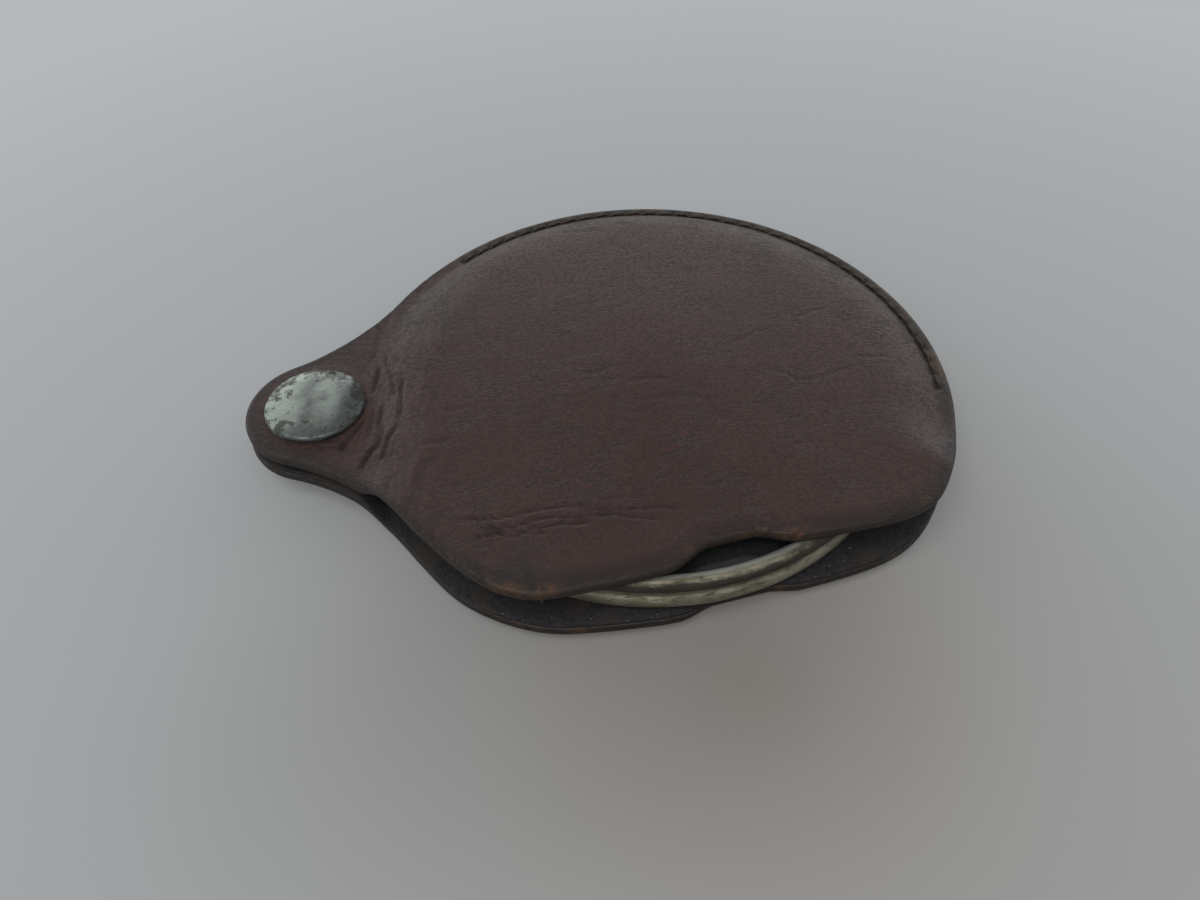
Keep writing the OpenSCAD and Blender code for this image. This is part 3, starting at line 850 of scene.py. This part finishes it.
def rim_finish(nickel):
    """Rim: worn nickel, streaked along its turn, with dirt and painted shade in its groove and a
    chalky painted highlight on its inner edge.
    """
    material, shader, nodes = new_material("rim_old_nickel")
    where = nodes.millimetres()
    axes, away = from_centre(nodes, where, LENS_AT)
    turn = nodes.calc("ARCTAN2", axes["Y"], axes["X"])
    gather = nodes.add("ShaderNodeCombineXYZ")
    nodes.join(nodes.calc("MULTIPLY", turn, RIM_R * 0.3), gather.inputs["X"])
    nodes.join(away, gather.inputs["Y"])
    nodes.join(axes["Z"], gather.inputs["Z"])
    marks = nodes.group(nickel, Position=gather.outputs[0], Size=0.36, Specks=0.65)
    tone = nodes.mix(marks["Clouds"], srgb(140, 137, 121), srgb(106, 101, 85))
    # Dirt and painted shade, from the groove up the outer side of the upper bead
    off_middle = nodes.calc("ABSOLUTE", nodes.calc("SUBTRACT", axes["Z"], DIRT_AND_SHADE_AT))
    uneven = nodes.noise(gather.outputs[0], 0.7, 4.0, 0.65)
    edge_of_dirt_and_shade = nodes.calc("ADD", uneven, 0.05)
    groove_dirt_and_shade = nodes.band(nodes.calc("SUBTRACT", off_middle, edge_of_dirt_and_shade), -0.14, 0.16, 0.9, 0.0)
    dirt_and_shade = nodes.calc("MAXIMUM", nodes.calc("MULTIPLY", marks["Specks"], 0.7), groove_dirt_and_shade)
    # Painted highlight: a paler, chalkier film on the inner side of the upper bead's top
    top = nodes.calc("MULTIPLY", nodes.band(axes["Z"], 1.3, 1.55),
                     nodes.band(away, BEAD_AT - 0.12, BEAD_AT + 0.16, 1.0, 0.0))
    tone = nodes.mix(top, tone, srgb(142, 144, 136))
    dirt_and_shade = nodes.calc("MULTIPLY", dirt_and_shade, nodes.calc("MULTIPLY_ADD", top, -0.8, 1.0))
    chalk_and_highlight = nodes.calc("MULTIPLY_ADD", top, 0.2, 0.35)
    finish_nickel(nodes, shader, marks, tone, dirt_and_shade, chalk_and_highlight, (0.45, 0.6))
    return material


def plain_nickel():
    """Hidden rivet pieces: plain dull plate with a fine speckle."""
    material, shader, nodes = new_material("rivet_tube_nickel")
    speckle = nodes.noise(nodes.millimetres(), 0.4, 4.0, 0.6)
    nodes.join(nodes.mix(speckle, srgb(120, 122, 116), srgb(170, 172, 166)),
               shader.inputs["Base Color"])
    shader.inputs["Metallic"].default_value = 1.0
    shader.inputs["Roughness"].default_value = 0.42
    nodes.bump(nodes.calc("MULTIPLY", speckle, 0.03), shader)
    return material


def glass_finish():
    """Clear glass with faint smears."""
    material, shader, nodes = new_material("lens_clear_glass")
    smears = nodes.noise(nodes.millimetres(), 4.0, 4.0, 0.6)
    nodes.join(nodes.band(smears, 0.45, 0.75, 0.01, 0.06), shader.inputs["Roughness"])
    shader.inputs["Base Color"].default_value = (0.8, 0.86, 0.84, 1)
    shader.inputs["Specular IOR Level"].default_value = 0.4
    shader.inputs["Transmission Weight"].default_value = 0.985
    shader.inputs["IOR"].default_value = 1.52
    return material


def stitch_row(name, front, material):
    """One row of lockstitches: a two-ply thread along the border that dips into each hole."""
    on_top = LEAF - THREAD_SUNK
    count = STITCHES * PER_STITCH
    share = np.arange(count + 1) / PER_STITCH
    sink = np.abs(np.cos(math.pi * share)) ** DIP_SHARPNESS
    angle = np.radians(SEAM_END + STITCH_STEP * share)
    radius = (STITCH_R + STITCH_STRAY * np.sin(2 * math.pi * share + 0.6)
              + SEAM_STRAY * np.sin(share * 2.7))
    height = (on_top - THREAD_DIP * sink) * (1 if front else -1)
    centre = np.stack([radius * np.cos(angle), radius * np.sin(angle), MID_Z + height], 1)

    clean_start()
    bpy.ops.mesh.primitive_grid_add(x_subdivisions=THREAD_SIDES, y_subdivisions=count, size=1)
    piece = bpy.context.object
    across, ring = grid_places(piece, THREAD_SIDES, count)
    turn = across / THREAD_SIDES * 2 * math.pi
    way = np.gradient(centre, axis=0)
    way /= np.linalg.norm(way, axis=1)[:, None]
    out = np.stack([np.cos(angle), np.sin(angle), 0 * angle], 1)
    up = np.cross(way, out)
    up /= np.linalg.norm(up, axis=1)[:, None]
    twist = share[ring] * PLY_TWIST * math.pi
    ply = THREAD_R * (PLY_CORE + PLY_RIDGE * np.cos(2 * (turn - twist)))
    from_end = np.minimum(ring, count - ring)
    taper = np.minimum(1, THREAD_TIP + (1 - THREAD_TIP) * from_end / TIP_RINGS)
    place = centre[ring] + (np.cos(turn)[:, None] * out[ring]
                            + np.sin(turn)[:, None] * up[ring]) * (ply * taper)[:, None]
    piece.data.vertices.foreach_set("co", (place * MM).ravel())
    close_sheet(bpy.ops.mesh.edge_face_add)
    return finish_piece(piece, name, material, "case")


# Pieces

grain, nickel = leather_grain(), old_nickel()
nap, waxed = lining_finish(), thread_finish()

# Worn and stained places of the leaves, as (x, y, radius, strength)
FRONT_WEAR = [(-18.7, -19.5, 1.6, 1.0), (-15.4, -22.2, 2.2, 1.0), (-13.0, -23.2, 2.0, 0.9),
              (-1.7, -20.8, 1.6, 0.7), (0.5, -20.2, 1.5, 0.8), (4.1, -19.9, 2.6, 0.9),
              (7.4, -21.2, 2.6, 0.9), (18.4, -18.6, 2.0, 0.6), (25.8, 9.5, 2.2, 0.9),
              (26.8, -2.2, 2.6, 0.9), (26.8, 5.7, 1.8, 0.7)]
# The last front stain, wide and faint on the far left, is painted shade over a slope that faces the
# bright far side; the others are stains
FRONT_STAINS_AND_SHADE = [(-14.8, -23.4, 4.2, 1.7), (-18.6, -22.0, 3.0, 1.2), (-10.0, -24.2, 3.4, 1.1),
                (-20.5, 11.5, 8.0, 0.5)]
REAR_WEAR = [(-14.7, -23.6, 1.8, 0.9), (-10.3, -24.4, 1.6, 0.7), (6.6, -23.0, 1.8, 0.6),
             (17.3, -20.4, 2.0, 0.9)]
REAR_STAINS = [(0.0, -24.0, 4.0, 0.6), (-20.0, -18.0, 4.0, 0.4)]
front_skin = leather_finish("front_leather_grain", grain, FRONT_WEAR, FRONT_STAINS_AND_SHADE,
                            (srgb(33, 26, 22), srgb(48, 40, 34)))
# The rear leaf's cut edge gets darker tones than the front's: painted shade on the lower leaf
rear_skin = leather_finish("rear_leather_grain", grain, REAR_WEAR, REAR_STAINS,
                           (srgb(27, 22, 19), srgb(41, 35, 30)))

leather_rows = section_rows(LOW_EDGE, HIGH_EDGE, low_count=10, high_count=84)
lining_rows = section_rows(LINING_LOW, LINING_HIGH, low_count=30, high_count=8)

for name, node, material, slot, outline, low_face, high_face, rows, front, relief in (
        ("front_leather_skin", "front_leather", front_skin, "case_leather", FRONT,
         lined(inside), outside, leather_rows, True, outer_relief(11, creased=True)),
        ("rear_leather_skin", "rear_leather", rear_skin, "case_leather", REAR,
         lined(crownless(inside)), crownless(outside), leather_rows, False,
         outer_relief(23, creased=False)),
        ("front_lining_cloth", "front_lining", nap, "case_lining", FRONT,
         inside, lined(inside), lining_rows, True, None),
        ("rear_lining_cloth", "rear_lining", nap, "case_lining", REAR,
         crownless(inside), lined(crownless(inside)), lining_rows, False, None)):
    leaf = wrap_leaf(outline, low_face, high_face, rows, front, relief)
    finish_piece(leaf, name, material, "case")
    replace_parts(leaf, node)

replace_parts(stitch_row("needle_thread_row", True, waxed), "needle_thread")
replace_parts(stitch_row("bobbin_thread_row", False, waxed), "bobbin_thread")

rim_plate, cap_plate, tube_plate = rim_finish(nickel), cap_finish(nickel), plain_nickel()
for node, material in (("front_rim", rim_plate), ("rear_rim", rim_plate),
                       ("rivet_front_cap", cap_plate), ("rivet_rear_cap", cap_plate),
                       ("rivet_socket", tube_plate), ("rivet_post", tube_plate),
                       ("lens", glass_finish())):
    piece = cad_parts[node]
    piece.data.materials.clear()
    piece.data.materials.append(material)


# Stage, light and camera

FLOOR_GLOW = 0.22
BACKDROP = 0.48


def pale_floor():
    """Pale floor that glows a little, as a lit panel does, so the shadows on it stay faint."""
    clean_start()
    bpy.ops.mesh.primitive_circle_add(vertices=96, radius=1.6, fill_type="NGON")
    floor = bpy.context.object
    floor.name = "floor"
    material, shader, nodes = new_material("pale_floor")
    where = nodes.millimetres()
    # Painted shadow of the case, fading out into the backdrop's brighter tones: tones outwards from
    # the darkest place as (share of the reach, level, how much bluer than grey)
    shadow_middle, reach = (2, -30, 0), 150.0
    stops = ((0.0, 130, -5), (0.14, 149, -1), (0.36, 163, 2), (0.95, 185, 3))
    away = nodes.vector("DISTANCE", where, shadow_middle)
    tones = nodes.add("ShaderNodeValToRGB")
    while len(tones.color_ramp.elements) < len(stops):
        tones.color_ramp.elements.new(1.0)
    for element, (place, level, blue) in zip(tones.color_ramp.elements, stops):
        element.position = place
        element.color = (*srgb(level - blue, level, level + blue), 1)
    nodes.join(nodes.calc("DIVIDE", away, reach), tones.inputs["Fac"])
    # A long faint shade in front of the case
    along = nodes.vector("MULTIPLY", where, (0.5, 1, 1))
    shade = nodes.band(nodes.vector("DISTANCE", along, (-6, -29, 0)), 5, 20, 0.91, 1.0)
    tone = nodes.vector("MULTIPLY", tones.outputs["Color"], shade)
    nodes.join(tone, shader.inputs["Base Color"])
    shader.inputs["Roughness"].default_value = 0.8
    shader.inputs["Specular IOR Level"].default_value = 0.1
    # Glow, where the camera, a reflection or the lens looks at the floor
    glow = nodes.add("ShaderNodeEmission")
    nodes.join(tone, glow.inputs["Color"])
    path = nodes.add("ShaderNodeLightPath").outputs
    seen = nodes.calc("MAXIMUM", path["Is Camera Ray"],
                      nodes.calc("MAXIMUM", path["Is Glossy Ray"], path["Is Transmission Ray"]))
    both = nodes.add("ShaderNodeMixShader")
    nodes.join(nodes.calc("MULTIPLY", seen, FLOOR_GLOW), both.inputs[0])
    nodes.join(shader.outputs["BSDF"], both.inputs[1])
    nodes.join(glow.outputs[0], both.inputs[2])
    out = [node for node in material.node_tree.nodes if node.type == "OUTPUT_MATERIAL"][0]
    nodes.join(both.outputs[0], out.inputs["Surface"])
    floor.data.materials.append(material)


def soft_lamp(name, place, aim, size, watts, colour):
    """Round lamp at a place, turned to its aim. Lengths are in metres."""
    clean_start()
    way = Vector(aim) - Vector(place)
    bpy.ops.object.light_add(type="AREA", location=place)
    lamp = bpy.context.object
    lamp.name = name
    lamp.rotation_euler = way.to_track_quat("-Z", "Y").to_euler()
    lamp.data.shape = "DISK"
    lamp.data.size = size
    lamp.data.energy = watts
    lamp.data.color = colour


def soft_room():
    """Light of the room: bright low down on the far side, and high up on the near side.

    The camera itself sees a plain backdrop.
    """
    world = bpy.data.worlds.new("soft_room")
    bpy.context.scene.world = world
    world.use_nodes = True
    nodes = Nodes(world.node_tree)
    way = nodes.add("ShaderNodeTexCoord").outputs["Generated"]
    split = nodes.add("ShaderNodeSeparateXYZ")
    nodes.join(way, split.inputs[0])
    to_far = nodes.calc("MULTIPLY_ADD", split.outputs["X"], -0.25,
                        nodes.calc("MULTIPLY", split.outputs["Y"], 0.97))
    far = nodes.band(split.outputs["Z"], 0.25, 0.85, 1.75, 0.2)
    near = nodes.band(split.outputs["Z"], 0.1, 0.75, 0.16, 0.9)
    side = nodes.band(to_far, -0.45, 0.4)
    light = nodes.calc("MULTIPLY_ADD", nodes.calc("SUBTRACT", far, near), side, near)
    background = world.node_tree.nodes["Background"]
    background.inputs["Color"].default_value = (0.97, 0.99, 1.0, 1)
    seen = nodes.add("ShaderNodeLightPath").outputs["Is Camera Ray"]
    nodes.join(nodes.calc("MULTIPLY_ADD", seen, nodes.calc("SUBTRACT", BACKDROP, light), light),
               background.inputs["Strength"])


def photo_camera():
    """Camera at the photograph's place: angles in degrees, lengths in millimetres."""
    azimuth, elevation, roll = math.radians(-8.14), math.radians(48.3), math.radians(-0.28)
    distance, aim = 88.6, Vector((-5.85, -4.25, 0))
    back = Vector((math.sin(azimuth) * math.cos(elevation),
                   -math.cos(azimuth) * math.cos(elevation), math.sin(elevation)))
    clean_start()
    bpy.ops.object.camera_add(location=(aim + back * distance) * MM)
    camera = bpy.context.object
    turned = (-back).to_track_quat("-Z", "Y").to_matrix() @ Matrix.Rotation(roll, 3, "Z")
    camera.rotation_euler = turned.to_euler()
    camera.data.lens = 28
    camera.data.sensor_width = 36
    camera.data.clip_start = 0.005
    camera.data.clip_end = 10
    bpy.context.scene.camera = camera


pale_floor()
soft_room()
soft_lamp("window", place=(-0.30, -0.24, 0.78), aim=(0, 0, 0), size=0.6, watts=2.6,
          colour=(1.0, 0.99, 0.97))
photo_camera()
bpy.context.scene.view_settings.view_transform = "Standard"
